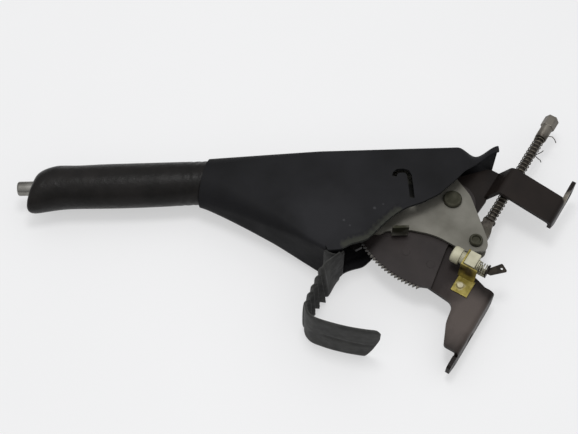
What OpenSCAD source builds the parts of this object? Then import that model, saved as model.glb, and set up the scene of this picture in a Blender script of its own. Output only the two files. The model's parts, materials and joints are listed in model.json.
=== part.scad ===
// Parking brake lever with its ratchet, floor bracket, warning switch and pull rod.
// The assembly lies on its side. +X runs to the rear along the floor, +Y points up off the floor
// and +Z is the pivot axis. The origin is the front bolt hole, on the face that meets the floor.
// All lengths are in millimetres and all angles in degrees.

/* [Bracket] */
// Height of the pivot above the front foot's floor face
pivot_height = 61.5; // [60:0.5:66]
// Distance from the front bolt to the pivot, along the floor
pivot_setback = 84; // [80:1:90]
// Sheet thickness of the bracket and of the ratchet sector
sheet = 3; // [2.5:0.25:3.25]
// Reach of both feet to the far side of the lever's middle plane
foot_depth = 23; // [22.5:0.5:28]
// How far the rear foot stands below the front foot
foot_step = 11; // [8:0.5:14]
// Width of the rear arm
arm_w = 25; // [22:0.5:26]
// Distance from the pivot to the front edge of the rear arm
arm_x = 18.5; // [17:0.5:20]
// Length of the rear foot along the floor
rear_foot_l = 44; // [42:1:48]
// Rise of the rear arm's step over the pull rod
arm_rise = 17; // [16:0.5:18]
// How far the rear arm's pad sinks towards its foot
pad_fall = 7; // [5:0.5:8]
// Length of the front foot along the floor
front_foot_l = 68; // [64:1:72]
// Diameter of the floor bolt holes
bolt_hole_d = 9; // [7:0.5:10]

/* [Ratchet] */
// Radius over the tips of the ratchet teeth
sector_r = 78; // [76:0.5:78.5]
// Number of ratchet teeth
tooth_count = 22; // [20:1:24]
// Angle from tooth to tooth
tooth_pitch = 2.2; // [2:0.1:2.3]
// Depth of the ratchet teeth
tooth_depth = 2.5; // [1.5:0.25:3]
// Diameter of the sector rivets
rivet_d = 6; // [4:0.5:8]

/* [Lever] */
// Angle of the handle above the floor, as pulled
lever_angle = 56; // [52:1:58]
// Height of the handle's axis above the pivot
handle_rise = 25; // [24:0.5:26]
// Distance from the pivot to the front of the grip
grip_reach = 318; // [310:1:330]
// Length of the grip
grip_l = 132; // [124:1:138]
// Radius of the grip at its middle
grip_r = 17; // [15.5:0.25:18]
// Thickness of each lever plate
plate_t = 2; // [1.5:0.25:2.5]
// Diameter of the handle tube
tube_d = 22; // [20:0.5:23]
// Wall of the handle tube
tube_wall = 2; // [1.5:0.25:2.5]
// Diameter of the pivot pin
pivot_d = 10; // [8:0.5:12]
// Diameter of the pivot pin's near head
pivot_head_d = 14; // [13.5:0.5:18]
// Diameter of the pull rod's clevis pin
clevis_d = 6; // [5:0.5:7]

/* [Cover] */
// Half width of the cover where it is widest
cover_half_w = 22; // [21.5:0.25:22.5]
// Wall of the cover
cover_wall = 2.5; // [1.5:0.25:3]
// Radius of the cover at its seam with the grip
cover_r = 18.5; // [18:0.25:20]
// Distance from the pivot to the end of the cover's underside
under_reach = 98; // [97:0.5:101]
// How far the underside of the cover slopes down
cover_drop = 53; // [50:0.5:54]
// Distance from the pivot to the tip of the cover's rear ear
ear_reach = 38; // [34:1:40]
// Thickness of the strap
strap_t = 2; // [1.5:0.25:2.5]
// Width of the strap
strap_w = 44; // [40:0.5:45]
// Length of the flat pad at the end of the strap
pad_l = 51; // [46:1:54]
// Number of pleats in the strap
pleat_count = 5; // [4:1:6]

/* [Release] */
// Diameter of the release button
button_d = 11; // [9:0.5:12]
// How far the release button stands out of the grip
button_out = 10; // [8:0.5:14]
// Travel of the release button
button_travel = 6; // [4:0.5:6.5]
// Diameter of the release rod
release_rod_d = 6; // [5:0.25:6.5]

/* [Pull rod] */
// Length of the pull rod from its clevis pin to its end
pull_rod_l = 134; // [126:1:140]
// Diameter of the pull rod
pull_rod_d = 6; // [5:0.25:6.5]
// Wire of the pull rod's spring
rod_wire = 0.9; // [0.6:0.1:1.1]
// Number of turns of the pull rod's spring
rod_turns = 26; // [18:1:30]
// Width across the flats of the adjusting nut
nut_flats = 10; // [9:0.5:12]
// Length of the adjusting nut
nut_l = 22; // [18:0.5:24]

/* [Switch] */
// Diameter of the switch plunger's head
plunger_d = 12.4; // [11:0.2:12.6]
// Travel of the switch plunger
plunger_travel = 3; // [2:0.25:3.5]
// Side of the switch housing
housing_w = 12; // [11:0.25:12.5]
// Sheet thickness of the switch clip
clip_t = 1.2; // [0.8:0.1:1.5]

/* [Hidden] */
$fn = 64;

// Clearances: sliding round fits, gaps between moving faces, and slack of a shell round its core
fit = 0.05;
gap = 0.3;
slack = 0.2;
// Overlap of a cutting shape with what it cuts, and of solids that are one piece
over = 1;

// Layers along the pivot axis, measured from the lever's middle plane
washer_t = 0.8;
plate_in = sheet + washer_t + slack;
plate_out = plate_in + plate_t;
mid_z = foot_depth - 8.5;

// Places of the bracket, measured from the pivot
foot_y = -pivot_height;
rear_y = foot_y - foot_step;
bend_r = 5;
boss_r = 20;
leg_rear = -49;
front_tip = leg_rear - front_foot_l;
leg_front = front_tip + 12;
tongue_w = 11;
pad_z = arm_rise - pad_fall;
rear_far = -10;
rear_bolt = [arm_x + (arm_w + rear_foot_l) / 2, (pad_z + rear_far) / 2];
seam_x = -29;
step_top = -17;
step_run = 11;
bracket_r = sector_r - 8;
sector_start = 142;
sector_end = sector_start + tooth_count * tooth_pitch;
rivet_r = bracket_r - 14;
rivet_angles = [sector_start + 8, sector_start + 29, sector_start + 50];

// Places on the lever, measured from the pivot with x along the handle towards the pivot
clevis = [13.5, -35.5];
pawl_at = [-85, -12];
pawl_tip_angle = 207;
pawl_tip_r = sector_r + 0.4;
nose_r = 4;
cover_front = -grip_reach + grip_l;
seam_tilt = tan(15);
nose_tilt = tan(32);
tube_front = -grip_reach + 10;
tube_rear = pawl_at.x - 11;
tongue_l = 40;
tube_r = tube_d / 2;
bore_r = tube_r - tube_wall;
lug_y = -29;
lug_x = [-48, -36];
lug_z = 18;
pin_head_t = 3;
spacer_d = 9;
spacer_at = [pawl_at.x - 12.5, 3];

// Places along the release rod
bush_l = button_travel + 6;
collar_l = 4;
collar_at = tube_front + bush_l + gap;
guide_l = 10;
release_spring_l = 41;
guide_at = [collar_at + collar_l + release_spring_l, tube_rear - tongue_l - guide_l - 5];
rod_rear = pawl_at.x - nose_r - gap;
release_wire = 1.2;

// Places along the pull rod, from the clevis pin
eye_w = 12;
eye_t = 2 * plate_in - 1.4;
eye_l = 23;
rod_washer_t = 1.2;
spring_at = eye_l + rod_washer_t;
nut_at = pull_rod_l - nut_l - 1;

// Places of the switch, along its own axis from the top of the plunger
switch_x = -43;
switch_y = -22;
switch_z = plate_out + plunger_d / 2 + gap;
ear_s = 10;
housing_s = ear_s + clip_t;
housing_l = 8.5;
seat_s = housing_s + housing_l + 8;
neck_r = 3.5;
post_r = 2.3;
cap_r = plunger_d / 2;
collar_r = cap_r - 1.5;
screw_at = [-58, -37.5];
clip_foot = [14, 13];
screw_d = 4;

// Places of the cover and its strap
ear_start = 6;
ear_half_w = 14;
ear_tip_half_w = 18;
ear_lift = 2;
top_fall = 4.5;
cover_round = 5;
under_end = -under_reach;
cover_taper_l = under_end - cover_front;
root_half_w = cover_half_w - cover_wall - slack;
root_end = [under_end + 16.5, -44];
strap_top = [under_end + 11, -49];
strap_bow = [under_end - 8, -67];
strap_knee = [under_end - 16, -90];
pleat_h = 1.6;

// A point at a radius and an angle
function polar(r, a) = r * [cos(a), sin(a)];

// A value part of the way from a to b
function mix(a, b, t) = a + (b - a) * t;

function clamp(t) = max(0, min(1, t));
function unit(v) = v / norm(v);
function perp(v) = [-v.y, v.x];
function flat(p) = [p.x, p.y];

// The arc that rounds the corner b between a and c, with the fillet limited by its edges
function arc_corner(a, b, c, r, n) =
    let (
        u = unit(a - b),
        w = unit(c - b),
        half = acos(max(-1, min(1, u * w))) / 2,
        reach = r <= 0 ? 0 : min(r / tan(half), 0.49 * min(norm(a - b), norm(c - b)))
    )
    reach < 0.01 ? [b] :
    let (
        radius = reach * tan(half),
        o = b + unit(u + w) * radius / sin(half),
        s = b + u * reach - o,
        e = b + w * reach - o,
        a0 = atan2(s.y, s.x),
        turn = atan2(s.x * e.y - s.y * e.x, s * e)
    )
    [for (k = [0:n]) o + polar(radius, a0 + turn * k / n)];

// A closed outline from points [x, y, fillet radius]
function rounded(p, n = 6) = let (m = len(p)) [
    for (i = [0:m - 1])
        each arc_corner(flat(p[(i + m - 1) % m]), flat(p[i]), flat(p[(i + 1) % m]), p[i][2], n)
];

// An open path from points [x, y, bend radius]
function bent(p, n = 6) = let (m = len(p)) concat(
    [flat(p[0])],
    [for (i = [1:m - 2]) each arc_corner(flat(p[i - 1]), flat(p[i]), flat(p[i + 1]), p[i][2], n)],
    [flat(p[m - 1])]
);

// The sideways direction at a point of a path, long enough to keep a mitred strip's thickness
function side(path, i) = let (
        m = len(path),
        a = i > 0 ? unit(path[i] - path[i - 1]) : unit(path[1] - path[0]),
        b = i < m - 1 ? unit(path[i + 1] - path[i]) : a,
        n = unit(perp(a) + perp(b))
    )
    n / (n * perp(a));

// The outline of a strip of thickness t along a path
function strip(path, t) = let (m = len(path)) concat(
    [for (i = [0:m - 1]) path[i] + side(path, i) * t / 2],
    [for (i = [m - 1:-1:0]) path[i] - side(path, i) * t / 2]
);

module at_pivot() translate([pivot_setback, pivot_height, mid_z]) children();

// The lever's own frame: the pivot is the origin and the handle runs along -x
module on_lever() at_pivot() rotate([0, 0, -lever_angle]) children();

// The pull rod's own frame: its clevis pin is the origin and the rod runs along +x
module on_pull_rod() on_lever() translate(clevis) rotate([0, 0, lever_angle]) children();

// The switch's own frame: its axis is +z, from the top of the plunger down
module on_switch() at_pivot() translate([switch_x, switch_y, switch_z]) rotate([90, 0, 0]) children();

// Turns a shape that is drawn along z to run along x, with its own x up
module along_x() rotate([90, 0, 90]) children();

// Something round whose axis runs along the handle, from its own z = 0 at x
module on_handle(x) on_lever() translate([x, handle_rise, 0]) along_x() children();

// A sheet profile in the plane of y and z, bent along a path and x0 to x1 wide
module bent_sheet(path, t, x0, x1) translate([x0, 0, 0]) along_x()
    linear_extrude(x1 - x0) polygon(strip(path, t));

// A skin over a list of rings with the same number of points, with flat ends or joined end to end
module skin(rings, joined = false) {
    m = len(rings);
    n = len(rings[0]);
    last = joined ? m - 1 : m - 2;
    sides = [for (i = [0:last], j = [0:n - 1])
        let (a = i * n, b = (i + 1) % m * n, k = (j + 1) % n)
        each [[a + j, a + k, b + j], [a + k, b + k, b + j]]];
    ends = joined ? [] : [[for (j = [n - 1:-1:0]) j], [for (j = [0:n - 1]) (m - 1) * n + j]];
    polyhedron([for (r = rings) each r], concat(sides, ends));
}

// A round wire coil along z with closed flat end turns
module coil(r, wire, length, turns, steps = 12, sides = 6) {
    rise = length - wire;
    end_share = min(0.2, 1 / turns);
    count = round(turns * steps);
    function height(t) = rise * clamp((t - end_share / 2) / (1 - end_share));
    skin([for (i = [0:count]) let (t = i / count, a = 360 * turns * t)
        [for (j = [0:sides - 1]) let (q = -360 * j / sides, d = r + wire / 2 * cos(q))
            [d * cos(a), d * sin(a), wire / 2 + height(t) + wire / 2 * sin(q)]]]);
}

// Flat plate with its own outline, from z0 up by t
module plate(z0, t) translate([0, 0, z0]) linear_extrude(t) children();

// A hole or pin through all layers of the lever, at a point of the plane
module through(p, d, z = plate_out + over) translate([p.x, p.y, -z]) cylinder(d = d, h = 2 * z);

// A pin with a flat head, dished if asked, riveted over at its far end
module riveted_pin(p, d, head_d, far_d, seat, dish = 0) {
    top = seat + pin_head_t;
    translate(p) rotate_extrude() polygon(concat(
        [[0, -top], [far_d / 2 - 1, -top], [far_d / 2, 1 - top]],
        [[far_d / 2, -seat], [d / 2, -seat], [d / 2, seat], [head_d / 2, seat]],
        [[head_d / 2, top - 0.8], [head_d / 2 - 0.8, top]],
        dish == 0 ? [] : [[head_d / 2 - 1.6, top], [head_d / 2 - 2.2, top - dish]],
        [[0, top - dish]]
    ));
}

module bracket_outline() {
    circle(r = boss_r);
    polygon(rounded(concat(
        [[leg_rear, foot_y + bend_r + sheet, 0], [leg_rear + 5, foot_y + 22, 10]],
        [[seam_x, -13, 8], [0, -boss_r, 0]],
        [[arm_x, step_top - 4, 4], [arm_x, step_top, 0], [arm_x + arm_w, step_top, 0]],
        [[arm_x + arm_w, step_top + 7, 6], [10, boss_r - 1, 14]],
        [for (a = [sector_start + 3:6:sector_end]) let (p = polar(bracket_r, a)) [p.x, p.y, 0]],
        [[-bracket_r - 3, -40, 6], [leg_front + 17, -42.5, 12], [leg_front, foot_y + 12, 3]],
        [[leg_front, foot_y + bend_r + sheet, 0]]
    )));
}

// The outline of a foot on the floor, as x and z
module front_foot_outline(near_z) polygon(rounded([
    [leg_front, -foot_depth, 8], [leg_rear, -foot_depth, 12], [leg_rear, near_z, 0],
    [leg_front, near_z, 0], [leg_front - 2, -sheet, 1], [front_tip, -sheet, 3],
    [front_tip, -sheet - tongue_w, 4]
]));

module rear_foot_outline(near_z) polygon(rounded([
    [arm_x, near_z, 0], [arm_x + arm_w / 2, rear_far, 8], [arm_x + rear_foot_l, rear_far, 6],
    [arm_x + rear_foot_l, pad_z, 4], [arm_x + arm_w + 3, pad_z, 3], [arm_x + arm_w, near_z, 0]
]));

// A foot's flat sheet, standing on the floor face y
module foot_sheet(y) translate([0, y + sheet, 0]) rotate([90, 0, 0]) linear_extrude(sheet) children();

module floor_hole(x, y, z) translate([x, y - over, z]) rotate([-90, 0, 0])
    cylinder(d = bolt_hole_d, h = sheet + 2 * over);

// The bracket's plate in front of the seam, or behind it
module bracket_part(front) plate(-sheet, sheet) intersection() {
    bracket_outline();
    translate([front ? seam_x - 2 * sector_r : seam_x, -sector_r]) square(2 * sector_r);
}

// The bracket's front leg, which carries the ratchet and bends into the front foot
module base_bracket() color("#3a3332") at_pivot() difference() {
    mid = sheet / 2;
    near_z = -mid - bend_r - 1;
    union() {
        bracket_part(true);
        bent_sheet(
            bent([[foot_y + bend_r + sheet, -mid], [foot_y + mid, -mid, bend_r], [foot_y + mid, near_z]]),
            sheet, leg_front, leg_rear
        );
        foot_sheet(foot_y) front_foot_outline(near_z);
    }
    for (a = rivet_angles) through(polar(rivet_r, a), rivet_d);
    through(screw_at, screw_d);
    floor_hole(-pivot_setback, foot_y, -mid_z);
}

// The bracket's hub, welded to the front leg along the seam
module bracket_hub() color("#3a3332") at_pivot() difference() {
    bracket_part(false);
    through([0, 0], pivot_d);
}

// The rear arm is welded to the hub's lower edge; it steps over the pull rod and sinks to its foot
module rear_arm() color("#3a3332") at_pivot() difference() {
    mid = sheet / 2;
    near_z = pad_z - mid - bend_r - 1;
    union() {
        bent_sheet(
            bent([
                [step_top, -mid], [step_top - 2, -mid, 4], [step_top - step_run, arm_rise - mid, 4],
                [rear_y + mid, pad_z - mid, bend_r], [rear_y + mid, near_z]
            ]),
            sheet, arm_x, arm_x + arm_w
        );
        foot_sheet(rear_y) rear_foot_outline(near_z);
    }
    floor_hole(rear_bolt[0], rear_y, rear_bolt[1]);
}

module ratchet_sector() color("#40383a") at_pivot() difference() {
    plate(0, sheet) {
        circle(r = boss_r - 2);
        polygon(concat(
            [for (k = [0:tooth_count - 1]) let (a = sector_start + k * tooth_pitch)
                each [polar(sector_r - tooth_depth, a), polar(sector_r, a + tooth_pitch / 5)]],
            [polar(sector_r - tooth_depth, sector_end), polar(sector_r - 4, sector_end + 6)],
            [polar(40, sector_end + 12)],
            [polar(boss_r - 4, 240), polar(boss_r - 4, 90), polar(40, sector_start - 14)]
        ));
    }
    through([0, 0], pivot_d);
    for (a = rivet_angles) through(polar(rivet_r, a), rivet_d);
}

module sector_rivets() color("#4a4344") at_pivot()
    for (a = rivet_angles) through(polar(rivet_r, a), rivet_d, sheet);

module pivot_pin() color("#77756c") at_pivot()
    riveted_pin([0, 0], pivot_d, pivot_head_d, pivot_d + 4, plate_out + slack);

module pivot_washers() color("#8a8880") at_pivot() for (z = [sheet, -sheet - washer_t]) difference() {
    plate(z, washer_t) circle(d = pivot_d + 8);
    through([0, 0], pivot_d);
}

// One lever plate as a flat blank; the near plate has the lug that works the switch
module lever_outline() {
    eye_r = 8.5;
    right = clevis.x + eye_r;
    polygon(rounded([
        [tube_rear - tongue_l, handle_rise - tube_r - 1.5, 2],
        [tube_rear - tongue_l, handle_rise + tube_r + 1.5, 2],
        [tube_rear + 8, handle_rise + tube_r - 1, 20], [-14, 31, 20], [4, 21, 5], [14, 4, 25],
        [right, clevis.y + 3, 20], [right, clevis.y - eye_r, eye_r],
        [clevis.x - eye_r, clevis.y - eye_r, eye_r], [-16, -29, 60],
        [lug_x[1] + 3, lug_y + 4.5, 0], [lug_x[0] - 4, lug_y + 4.5, 4], [lug_x[0] - 8, lug_y + 2, 4],
        [pawl_at.x - 14, pawl_at.y - 10, 9], [pawl_at.x - 24, handle_rise - tube_r - 1.5, 12]
    ]));
}

module lever_plate(z0) difference() {
    plate(z0, plate_t) lever_outline();
    through([0, 0], pivot_d + 2 * fit);
    through(clevis, clevis_d);
    through(pawl_at, clevis_d);
    through(spacer_at, spacer_d / 2);
}

module lever_near_plate() color("#6e6c66") on_lever() {
    lever_plate(plate_in);
    mid = plate_in + plate_t / 2;
    lug_mid = lug_y + plate_t / 2;
    bent_sheet(bent([[lug_y + 5, mid], [lug_mid, mid, 2], [lug_mid, lug_z]]), plate_t, lug_x[0], lug_x[1]);
}

module lever_far_plate() color("#64625c") on_lever() lever_plate(-plate_out);

// A shouldered rivet that holds the two plates apart in front of the pawl
module plate_spacer() color("#77756c") on_lever() {
    through(spacer_at, spacer_d, plate_in);
    through(spacer_at, spacer_d / 2, plate_out + 1);
}

module lever_tube() color("#5a5955") on_lever() difference() {
    translate([tube_front, handle_rise, 0]) along_x() difference() {
        cylinder(d = tube_d, h = tube_rear - tube_front);
        translate([0, 0, -over]) cylinder(r = bore_r, h = tube_rear - tube_front + 2 * over);
    }
    for (z = [plate_in, -plate_out]) translate([tube_rear - tongue_l, handle_rise - tube_r - over, z])
        cube([tongue_l + over, tube_d + 2 * over, plate_t]);
}

module ring(r, bore, length) rotate_extrude() translate([bore, 0]) square([r - bore, length]);

module tube_bush() color("#d8d6c8") on_handle(tube_front) ring(bore_r, button_d / 2 + fit, bush_l);

module rod_guides() color("#d8d6c8") for (x = guide_at) on_handle(x)
    ring(bore_r, release_rod_d / 2 + fit, guide_l);

// One ring of the grip: an ellipse about the handle's axis, leaning back with the seam
function grip_ring(x, up, down, half, lean, n = 36) = [for (j = [0:n - 1]) let (
        a = 360 * j / n,
        y = sin(a) * (sin(a) > 0 ? up : down)
    ) [x + lean * y, handle_rise + y, -half * cos(a)]];

// The grip swells for the fingers, and its nose droops below the button
grip_stations = 16;
function grip_ring_at(t) = let (
        nose = sqrt(1 - pow(1 - clamp(t / 0.09), 2)),
        lean = mix(nose_tilt, seam_tilt, clamp(t * 1.3)),
        swell = 1 + 0.035 * cos(360 * (t * 1.05 - 0.6)),
        droop = 4 * exp(-pow((t - 0.05) / 0.12, 2)),
        start = 0.62
    ) grip_ring(
        -grip_reach + grip_l * t + 4,
        grip_r * mix(start, 1, nose),
        (grip_r * swell + droop) * mix(start, 1, nose),
        grip_r * mix(start, 0.98, nose),
        lean * mix(0.4, 1, nose)
    );

module grip() color("#211f1e") on_lever() difference() {
    skin([for (i = [0:grip_stations]) grip_ring_at(pow(i / grip_stations, 1.6) * (1 - 4 / grip_l))]);
    translate([tube_front, handle_rise, 0]) along_x() cylinder(d = tube_d, h = grip_l * 2);
    translate([tube_front - 40, handle_rise, 0]) along_x() cylinder(d = button_d + 1, h = 50);
}

// The cover's section along the lever: half width, top, underside and corner radius at x
function ease(t) = t * t * (3 - 2 * t);
function cover_taper(x) = clamp((x - cover_front) / cover_taper_l);
function ear_share(x) = clamp((x - ear_start) / (ear_reach - ear_start));
function ear_neck(x) = ease(clamp(2 * ear_share(x)));
function ear_flare(x) = ease(clamp(2 * ear_share(x) - 1));
function cover_half(x) = mix(
    mix(mix(cover_r, cover_half_w, cover_taper(x)), ear_half_w, ear_neck(x)),
    ear_tip_half_w, ear_flare(x)
);
function cover_top(x) = handle_rise + cover_r - top_fall * cover_taper(x) + ear_lift * ear_flare(x);
function cover_bottom(x) = handle_rise - cover_r - cover_drop * pow(cover_taper(x), 1.2);
function cover_corner(x) = mix(
    mix(mix(cover_r, cover_round, cover_taper(x)), ear_half_w - 0.5, ear_neck(x)),
    cover_wall + 0.6, ear_flare(x)
);

// The height of the cover's rear edge at x, from the end of the underside up to the ear
edge_line = [
    [under_end, -48], [-86, -47.5], [-80, -42.5], [-68, -40.5], [-56, -28], [-45, -18], [-14, -5],
    [6, 12], [24, 31], [ear_reach, handle_rise + 10.5]
];
edge_blur = [-6, -3, 0, 3, 6];
function rear_edge(x) =
    [for (d = edge_blur) lookup(x + d, edge_line)] * [for (d = edge_blur) 1 / len(edge_blur)];

// One section of the cover, from the near wall's low end over the top to the far wall's, and in front of
// under_end on round the underside; it leans with the seam at the front
corner_n = 7;
hood_n = 2 * (corner_n + 2);
full_n = hood_n + 2 * (corner_n + 1);
function backwards(p) = [for (i = [len(p) - 1:-1:0]) p[i]];
function far_side(p) = [for (q = p) [q.x, -q.y]];
function section(x, top, bottom, half, r, low) = let (
        lean = seam_tilt * pow(1 - cover_taper(x), 2),
        lowest = asin(clamp((low - top + r) / r)),
        first = asin(clamp((low - top + r + gap) / r)),
        over_top = concat(
            [[low, half - r + r * cos(lowest)]],
            [for (k = [0:corner_n]) let (a = mix(first, 90, k / corner_n))
                [top - r + r * sin(a), half - r + r * cos(a)]]
        ),
        below = [for (k = [0:corner_n]) let (a = 90 * k / corner_n)
            [bottom + r - r * sin(a), half - r + r * cos(a)]],
        loop = concat(
            over_top, backwards(far_side(over_top)),
            x > under_end ? [] : concat(far_side(below), backwards(below))
        )
    )
    [for (q = loop) [x + lean * (q.x - handle_rise), q.x, q.y]];
function cover_ring(x, inset) = let (
        r = max(0.5, cover_corner(x) - inset),
        bottom = cover_bottom(x) + inset,
        low = x > under_end ? rear_edge(x) : bottom + r + 1
    )
    section(x, cover_top(x) - inset, bottom, cover_half(x) - inset, r, low);
function collar_ring(x) = let (r = tube_r + slack)
    section(x, handle_rise + r, handle_rise - r, r, r, handle_rise + 1);

// Rings are closer together where the hood ends in its ear
front_steps = 9;
hood_steps = 9;
ear_steps = 8;
cover_start = cover_front + gap;
front_xs = [for (i = [0:front_steps]) mix(cover_start, under_end, i / front_steps)];
hood_xs = concat(
    [for (i = [1:hood_steps]) mix(under_end, ear_start, i / hood_steps)],
    [for (i = [1:ear_steps]) mix(ear_start, ear_reach, i / ear_steps)]
);

// The cover is one skin: its outer face, its inner face and the rims that join them
collar_depth = 3;
module cover_shell() {
    outer = [for (x = concat(front_xs, hood_xs)) cover_ring(x, 0)];
    inner_xs = concat([cover_start + collar_depth + slack], [for (i = [1:front_steps]) front_xs[i]], hood_xs);
    inner = concat(
        [collar_ring(cover_start), collar_ring(cover_start + collar_depth)],
        [for (x = inner_xs) cover_ring(x, cover_wall)]
    );
    last = len(hood_xs);
    tubes = [len(front_xs), len(front_xs) + 2];
    shift = tubes[0] * full_n + last * hood_n;
    // The number of point j on ring i, counted from the last closed ring, of face f
    function id(f, i, j) =
        f * shift + j + (i <= 0 ? (tubes[f] - 1 + i) * full_n : tubes[f] * full_n + (i - 1) * hood_n);
    function quad(a, b, c, d) = [[a, c, b], [a, d, c]];
    function between(f, i, j, k) = f == 0
        ? quad(id(0, i, j), id(0, i, k), id(0, i + 1, k), id(0, i + 1, j))
        : quad(id(1, i, j), id(1, i + 1, j), id(1, i + 1, k), id(1, i, k));
    function rim(i, j, k) = quad(id(0, i, j), id(0, i, k), id(1, i, k), id(1, i, j));
    polyhedron([for (r = concat(outer, inner)) each r], [
        for (f = [0, 1]) each concat(
            [for (i = [1 - tubes[f]:-1], j = [0:full_n - 1]) each between(f, i, j, (j + 1) % full_n)],
            [for (i = [0:last - 1], j = [0:hood_n - 2]) each between(f, i, j, j + 1)]
        ),
        for (j = [0:full_n - 1]) let (a = 1 - tubes[0], b = 1 - tubes[1], k = (j + 1) % full_n)
            each quad(id(0, a, k), id(0, a, j), id(1, b, j), id(1, b, k)),
        for (j = [hood_n - 1:full_n - 1]) each rim(0, j, (j + 1) % full_n),
        for (j = [0:hood_n - 2]) each rim(last, j, j + 1),
        for (i = [0:last - 1]) let (j = hood_n - 1) each concat(
            quad(id(0, i, 0), id(0, i + 1, 0), id(1, i + 1, 0), id(1, i, 0)),
            quad(id(0, i + 1, j), id(0, i, j), id(1, i, j), id(1, i + 1, j))
        )
    ]);
}

// The moulded slit that frees the snap tongue of the near wall
slit_w = 3;
module tongue_slit() translate([0, 0, cover_half_w - 8]) linear_extrude(16)
    polygon(strip(bent([[-43.5, 13.5], [-41, 17.5, 3], [-33.5, 17, 4], [-32.2, -6.5]]), slit_w));

module trim_cover() color("#2a2a2c") on_lever() difference() {
    cover_shell();
    tongue_slit();
}

// The strap bows down from the cover to its knee, pleated but for its first third, and then folds back
// under as a flat pad
smooth_share = 0.3;
function strap_run(t) = mix(mix(strap_top, strap_bow, t), mix(strap_bow, strap_knee, t), t);
function pleat(t) = let (
        d = unit(mix(strap_bow - strap_top, strap_knee - strap_bow, t)),
        share = clamp((t - smooth_share) / (1 - smooth_share))
    )
    strap_run(t) + perp(d) * pleat_h * sin(360 * pleat_count * share);
pleat_steps = 11;
strap_steps = pleat_count * pleat_steps;
strap_path = concat(
    [for (i = [0:strap_steps]) pleat(i / strap_steps)],
    bent([
        strap_knee + [0, -3], [strap_knee.x + 0.5, strap_knee.y - 8, 4],
        [strap_knee.x + 0.55 * pad_l, strap_knee.y - 20, 20], [strap_knee.x + pad_l, strap_knee.y - 22.5]
    ])
);

// What is cut off the pad's far corner
module pad_corner() translate([strap_knee.x + pad_l, 0, -strap_w / 2]) rotate([90, 0, 0]) linear_extrude(200)
    polygon([[-pad_l / 3, -over], [over, -over], [over, strap_w / 2]]);

// The strap's root is a narrower tab that stands between the cover's walls
module cover_strap() color("#3c3c3b") on_lever() {
    difference() {
        plate(-strap_w / 2, strap_w) polygon(strip(strap_path, strap_t));
        pad_corner();
    }
    plate(-root_half_w, 2 * root_half_w) polygon(strip([root_end, mix(strap_top, strap_bow, 0.05)], strap_t));
}

module clevis_pin() color("#77756c") on_lever()
    riveted_pin(clevis, clevis_d, clevis_d + 4, clevis_d + 3, plate_out, 1.2);

module pawl_pin() color("#77756c") on_lever()
    riveted_pin(pawl_at, clevis_d, clevis_d + 3, clevis_d + 3, plate_out);

module pawl_spring() color("#8d8b84") on_lever() translate([pawl_at.x, pawl_at.y, gap - plate_in])
    coil(clevis_d / 2 + 1.2, 1, 3, 2.6);

// The pawl's jaw reaches down to the teeth and its tail stands up in front of the release rod
module pawl() color("#55534e") on_lever() difference() {
    tip = polar(pawl_tip_r, pawl_tip_angle);
    heel = polar(pawl_tip_r + 1, pawl_tip_angle - 6.5);
    arm = 7;
    union() {
        plate(0, sheet) polygon(rounded([
            [pawl_at.x - arm, pawl_at.y + 2, 5], [pawl_at.x - 3, handle_rise - 3, 0],
            [pawl_at.x + 1.5, handle_rise - 3, 0], [pawl_at.x + arm - 2, pawl_at.y + 4, 5],
            [heel.x, heel.y, 6], [tip.x, tip.y, 0.5],
            [tip.x - 5, tip.y - 2.5, 1], [pawl_at.x - arm + 1, pawl_at.y - 9, 9]
        ]));
        plate(0, sheet) translate([pawl_at.x, handle_rise]) circle(r = nose_r);
        plate(-0.5, plate_in + 0.5 - gap) translate(pawl_at) circle(r = arm);
    }
    through(pawl_at, clevis_d + 2 * fit);
}

// The button has a domed, lightly hollowed end
module release_button() color("#9a9894") on_handle(-grip_reach - button_out) {
    r = button_d / 2;
    length = collar_at + grip_reach + button_out;
    rotate_extrude() polygon(concat(
        [[0, 0.5], [r - 2.5, 0.2]],
        [for (k = [0:4]) [r - 1.5 + 1.5 * sin(k * 22.5), 1.5 - 1.5 * cos(k * 22.5)]],
        [[r, length], [0, length]]
    ));
}

module release_rod() color("#8d8b84") on_handle(collar_at)
    cylinder(d = release_rod_d, h = rod_rear - collar_at);

module rod_collar() color("#8d8b84") on_handle(collar_at) ring(bore_r - 2, release_rod_d / 2, collar_l);

module release_spring() color("#8d8b84") on_handle(collar_at + collar_l)
    coil(release_rod_d / 2 + 1.8, release_wire, release_spring_l, 14, 10);

// A forged flat eye that runs into the round rod
module pull_rod() color("#4c4640") on_pull_rod() {
    neck = pull_rod_d / 2 + 1;
    half = [[eye_l - 9, eye_w / 2, 6], [eye_l - 3, neck, 2], [eye_l, neck, 0]];
    difference() {
        plate(-eye_t / 2, eye_t) {
            circle(d = eye_w);
            polygon(rounded(concat(
                [[0, -eye_w / 2, 0]], [for (p = half) [p[0], -p[1], p[2]]],
                backwards(half), [[0, eye_w / 2, 0]]
            )));
        }
        through([0, 0], clevis_d + 2 * fit);
    }
    translate([eye_l, 0, 0]) along_x() cylinder(d = pull_rod_d, h = pull_rod_l - eye_l);
}

module rod_washer() color("#5a544c") on_pull_rod() translate([eye_l, 0, 0]) along_x()
    ring(pull_rod_d / 2 + 2, pull_rod_d / 2, rod_washer_t);

module rod_spring() color("#5a5046") on_pull_rod() translate([spring_at, 0, 0]) along_x()
    coil(pull_rod_d / 2 + slack + rod_wire / 2 + 0.1, rod_wire, nut_at - spring_at - gap, rod_turns);

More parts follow.
